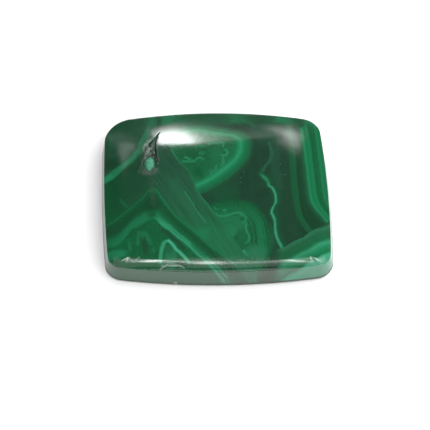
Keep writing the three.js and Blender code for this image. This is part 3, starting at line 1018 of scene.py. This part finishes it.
# How bright the reflected lights are, over their directions in degrees: to the right of the
# azimuth that they face, and from the horizon up.
WINDOW_ACROSS = (
    (-30, 14), (-5, 14), (-2, 7.5), (0, 2.4), (1, 1.5), (4, 0.6), (13, 0.45), (18, 0.3), (23, 0),
)
WINDOW_UPWARD = (
    (8, 0), (12, 0.03), (16.5, 0.06), (19.5, 0.1), (25.5, 0.27), (31.5, 0.58), (35, 0.85), (38, 1),
    (60, 1),
)
PATCH_MIDDLE = (
    (20, 10), (25.5, 12.5), (28.5, 14), (31.5, 16.5), (34.5, 20), (37.5, 24), (40.5, 29), (46, 32),
)
PATCH_WIDTH = ((20, 4), (31.5, 5), (37.5, 8), (40.5, 12), (46, 13))
PATCH_UPWARD = (
    (19, 0), (25.5, 0.9), (31.5, 2.2), (34.5, 3.2), (37.5, 3.7), (40.5, 2.9), (43, 1.2), (46, 0),
)
STRIP_ALONG = (
    (-30, 0.6), (-21, 2), (-18.5, 12), (-16, 9), (-14, 1), (-12, 0.5), (-10.5, 5), (-9, 4), (-6.5, 0.8),
    (-4, 4), (-2.3, 13), (-0.8, 3), (1, 1.6), (3, 0.8), (5, 1.6), (8, 1), (12, 1.2), (15, 1.6), (17, 9), (19, 1),
    (22.5, 0.3), (25, 1.2), (27, 14), (29, 1), (34, 0.4), (38, 3), (42, 0.8), (55, 0.5),
)
STRIP_TOP = ((-25, 60), (-10, 64), (0, 62), (6, 58), (15, 52), (25, 48), (50, 44))


def softbox(name, azimuth, elevation, wide, high, radiance, distance=0.6):
    """A soft light that faces the stone. Its place is in degrees and its size in metres."""
    lamp = bpy.data.lights.new(name, "AREA")
    lamp.shape = "RECTANGLE"
    lamp.size = wide
    lamp.size_y = high
    lamp.energy = 4 * wide * high * radiance
    holder = link(name, lamp)
    holder.location = towards(azimuth, elevation) * distance
    holder.rotation_euler = (-holder.location).to_track_quat("-Z", "Y").to_euler()
    return holder


def shade_softbox(holder, brightness, facing):
    """Makes a softbox show only in reflections, with a brightness that changes over it by its
    direction in degrees: to the right of an azimuth that it faces, and above the horizon."""
    holder.visible_diffuse = False
    lamp = holder.data
    lamp.use_nodes = True
    lamp.node_tree.nodes.clear()
    sheet = Sheet(lamp)
    x, y, z = sheet.split(sheet.add("ShaderNodeNewGeometry"))
    ahead = towards(facing, 0)
    across = x * ahead.y - y * ahead.x
    along = x * ahead.x + y * ahead.y
    turned = across.math("ARCTAN2", along) * math.degrees(1)
    risen = z.math("ARCTAN2", (x * x + y * y).root()) * math.degrees(1)
    glow = sheet.add("ShaderNodeEmission", {}, {"Strength": brightness(turned, risen)})
    sheet.add("ShaderNodeOutputLight", {}, {"Surface": glow})


def window_brightness(turned, risen):
    """A tall window whose left side and top slant, and the dim wall at its right."""
    across = turned.curve(WINDOW_ACROSS).at_least(0) * (turned + 0.4 * risen).step(1.5, 5.5)
    below_top = (risen + 0.35 * (turned + 3).at_least(0)).step(46.8, 43)
    return across * risen.curve(WINDOW_UPWARD).at_least(0) * below_top


def patch_brightness(turned, risen):
    """A soft slanting patch, and far to its left a dim patch within a dimmer one."""
    across = (turned - risen.curve(PATCH_MIDDLE)) / risen.curve(PATCH_WIDTH)
    patch = risen.curve(PATCH_UPWARD).at_least(0) * across.near(0, 0.1, 0.9)
    dim = turned.near(-38, 5, 8) * risen.near(43, 0.8, 2.8) * 0.8
    return patch + dim + turned.near(-33, 5, 10) * risen.near(39, 3, 5) * 0.25


def strip_brightness(turned, risen):
    """A bowed strip, uneven along its length, over a dim glow from the ground."""
    rightward = 0 - turned
    under_top = rightward.curve(STRIP_TOP) - risen
    strip = rightward.curve(STRIP_ALONG).at_least(0) * under_top.step(-4, 5) * under_top.step(32, 14)
    return strip + 0.45 * risen.step(60, 40)


def dim_room():
    """The room round the stage: dark above and paler towards the horizon."""
    world = bpy.data.worlds.new("room")
    world.use_nodes = True
    world.node_tree.nodes.clear()
    sheet = Sheet(world)
    x, y, z = sheet.split(sheet.add("ShaderNodeTexCoord"))
    strength = z.curve(((-1, 0.15), (0.1, 0.15), (0.7, 0.09), (1, 0.07)))
    glow = sheet.add("ShaderNodeBackground", {}, {"Strength": strength})
    sheet.add("ShaderNodeOutputWorld", {}, {"Surface": glow})
    return world


def pale_floor():
    """A plain white floor."""
    material = bpy.data.materials.new("pale floor")
    material.use_nodes = True
    material.node_tree.nodes.clear()
    sheet = Sheet(material)
    shader = sheet.add("ShaderNodeBsdfPrincipled", {}, {
        "Base Color": (0.7, 0.7, 0.7, 1), "Roughness": 0.8, "IOR": 1.3,
    })
    sheet.add("ShaderNodeOutputMaterial", {}, {"Surface": shader})
    return material


class GEM_OT_build_stage(bpy.types.Operator):
    """Builds the camera, the pale floor and the soft lights"""

    bl_idname = "gem.build_stage"
    bl_label = "Build stage"

    def execute(self, context):
        settings = context.scene.gem_stage
        target = Vector((-0.146, -1.62, 0)) * MM
        camera = link("camera", bpy.data.cameras.new("camera"))
        camera.data.lens = settings.lens
        camera.data.sensor_width = 36
        camera.data.clip_start = 0.01
        camera.data.clip_end = 10
        back = Vector((
            math.sin(settings.azimuth) * math.cos(settings.elevation),
            -math.cos(settings.azimuth) * math.cos(settings.elevation),
            math.sin(settings.elevation),
        ))
        camera.location = target + back * settings.distance
        camera.rotation_euler = back.to_track_quat("Z", "Y").to_euler()
        context.scene.camera = camera

        bm = bmesh.new()
        bmesh.ops.create_grid(bm, x_segments=1, y_segments=1, size=settings.floor_size / 2)
        mesh = bpy.data.meshes.new("floor")
        bm.to_mesh(mesh)
        bm.free()
        floor = link("floor", mesh)
        mesh.materials.append(pale_floor())

        overhead = softbox("overhead", 90, 66, 1.6, 1.6, 2.75, distance=0.78)
        overhead.visible_glossy = False
        shade_softbox(softbox("window", 0, 30, 1.0, 0.62, 1), window_brightness, 0)
        shade_softbox(softbox("side_patches", 0, 34, 1.6, 0.62, 1), patch_brightness, 0)
        shade_softbox(softbox("front_strip", 180, 45, 1.6, 0.8, 1), strip_brightness, 180)
        context.scene.world = dim_room()
        context.scene.view_settings.view_transform = "Standard"
        return {"FINISHED"}


class GEM_PT_panel(bpy.types.Panel):
    """The settings and the operators, in the sidebar"""

    bl_idname = "GEM_PT_panel"
    bl_label = "Malachite cabochon"
    bl_space_type = "VIEW_3D"
    bl_region_type = "UI"
    bl_category = "Gemstone"

    def draw(self, context):
        for settings, operator in (
            (context.scene.cabochon, GEM_OT_build_cabochon), (context.scene.gem_stage, GEM_OT_build_stage),
        ):
            box = self.layout.box()
            for name in settings.__annotations__:
                box.prop(settings, name)
            box.operator(operator.bl_idname)


CLASSES = (CabochonSettings, StageSettings, GEM_OT_build_cabochon, GEM_OT_build_stage, GEM_PT_panel)


def register():
    for cls in CLASSES:
        bpy.utils.register_class(cls)
    bpy.types.Scene.cabochon = PointerProperty(type=CabochonSettings)
    bpy.types.Scene.gem_stage = PointerProperty(type=StageSettings)


def unregister():
    del bpy.types.Scene.gem_stage
    del bpy.types.Scene.cabochon
    for cls in reversed(CLASSES):
        bpy.utils.unregister_class(cls)


def main():
    register()
    bpy.ops.gem.build_stage()
    bpy.ops.gem.build_cabochon()


if __name__ == "__main__":
    main()
